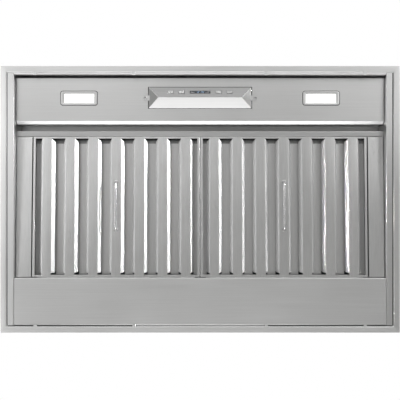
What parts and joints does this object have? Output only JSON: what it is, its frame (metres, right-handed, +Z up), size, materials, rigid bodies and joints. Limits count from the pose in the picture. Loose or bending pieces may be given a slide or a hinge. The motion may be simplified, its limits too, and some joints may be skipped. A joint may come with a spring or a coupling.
{
  "type": "range hood insert",
  "caption": "Built-in range hood insert: steel rim, control fascia with lamps, tilting baffle filters, blower box and round duct collar with damper flaps.",
  "frame": {"origin": "centre of the rim's underside, which is the lowest plane of the installed insert", "axes": "+X to the right of a user who faces the wall, +Y to the wall, +Z up"},
  "size_m": [0.873, 0.583, 0.4],
  "materials": {
    "stainless": "brushed",
    "galvanised": "galvanised",
    "bright_steel": "polished",
    "aluminium": "satin",
    "button_plastic": "matte",
    "smoked_plastic": "gloss",
    "circuit_board": "solder mask",
    "white_plastic": "matte",
    "diffuser": "frosted",
    "motor_paint": "satin black"
  },
  "bodies": {
    "hood": {"trim_frame": "stainless", "front_wall": "stainless", "rear_wall": "stainless", "left_wall": "stainless", "right_wall": "stainless", "control_fascia": "stainless", "filter_ledge": "stainless", "rear_pan": "stainless", "filler_left": "stainless", "filler_right": "stainless", "light_bezel_left": "stainless", "light_bezel_right": "stainless", "control_housing": "stainless", "plenum_top": "galvanised", "grease_tray": "galvanised", "blower_box": "galvanised", "blower_lid": "galvanised", "duct_collar": "galvanised", "damper_rod": "galvanised", "scroll_left": "galvanised", "scroll_right": "galvanised", "motor_bracket": "galvanised", "junction_box": "galvanised", "junction_cover": "galvanised", "mounting_bracket_left": "galvanised", "mounting_bracket_right": "galvanised", "blower_guard": "bright_steel", "control_screw_left": "bright_steel", "control_screw_right": "bright_steel", "light_housing_left": "aluminium", "light_housing_right": "aluminium", "capacitor": "aluminium", "display_window": "smoked_plastic", "control_board": "circuit_board", "light_board_left": "white_plastic", "light_board_right": "white_plastic", "lamp_driver": "white_plastic", "light_lens_left": "diffuser", "light_lens_right": "diffuser", "motor": "motor_paint"},
    "filter_left_body": {"filter_frame_left": "stainless", "front_baffles_left": "stainless", "back_baffles_left": "stainless", "handle_left": "bright_steel"},
    "filter_right_body": {"filter_frame_right": "stainless", "front_baffles_right": "stainless", "back_baffles_right": "stainless", "handle_right": "bright_steel"},
    "power_button_body": {"power_button": "button_plastic"},
    "light_button_body": {"light_button": "button_plastic"},
    "slower_button_body": {"slower_button": "button_plastic"},
    "faster_button_body": {"faster_button": "button_plastic"},
    "damper_front_body": {"damper_flap_front": "aluminium"},
    "damper_rear_body": {"damper_flap_rear": "aluminium"},
    "rotor": {"impeller": "galvanised", "motor_shaft": "bright_steel"}
  },
  "joints": [
    {"name": "filter_left_tilt", "type": "hinge", "parent": "hood", "child": "filter_left_body", "pos_m": [-0.1854, 0.172, 0.0094], "axis": [1, 0, 0], "range_deg": [0, 75]},
    {"name": "filter_right_tilt", "type": "hinge", "parent": "hood", "child": "filter_right_body", "pos_m": [0.1854, 0.172, 0.0094], "axis": [1, 0, 0], "range_deg": [0, 75]},
    {"name": "power_button_press", "type": "slide", "parent": "hood", "child": "power_button_body", "axis": [0, 0.4345, 0.9007], "range_m": [0, 0.001], "stiffness_N_per_m": 900, "springref_m": -0.0004},
    {"name": "light_button_press", "type": "slide", "parent": "hood", "child": "light_button_body", "axis": [0, 0.4345, 0.9007], "range_m": [0, 0.001], "stiffness_N_per_m": 900, "springref_m": -0.0004},
    {"name": "slower_button_press", "type": "slide", "parent": "hood", "child": "slower_button_body", "axis": [0, 0.4345, 0.9007], "range_m": [0, 0.001], "stiffness_N_per_m": 900, "springref_m": -0.0004},
    {"name": "faster_button_press", "type": "slide", "parent": "hood", "child": "faster_button_body", "axis": [0, 0.4345, 0.9007], "range_m": [0, 0.001], "stiffness_N_per_m": 900, "springref_m": -0.0004},
    {"name": "damper_front_swing", "type": "hinge", "parent": "hood", "child": "damper_front_body", "pos_m": [0, 0.02, 0.356], "axis": [-1, 0, 0], "range_deg": [0, 78]},
    {"name": "damper_rear_swing", "type": "hinge", "parent": "hood", "child": "damper_rear_body", "pos_m": [0, 0.02, 0.356], "axis": [1, 0, 0], "range_deg": [0, 78]},
    {"name": "rotor_spin", "type": "hinge", "parent": "hood", "child": "rotor", "pos_m": [0, -0.036, 0.248], "axis": [1, 0, 0], "continuous": true}
  ]
}
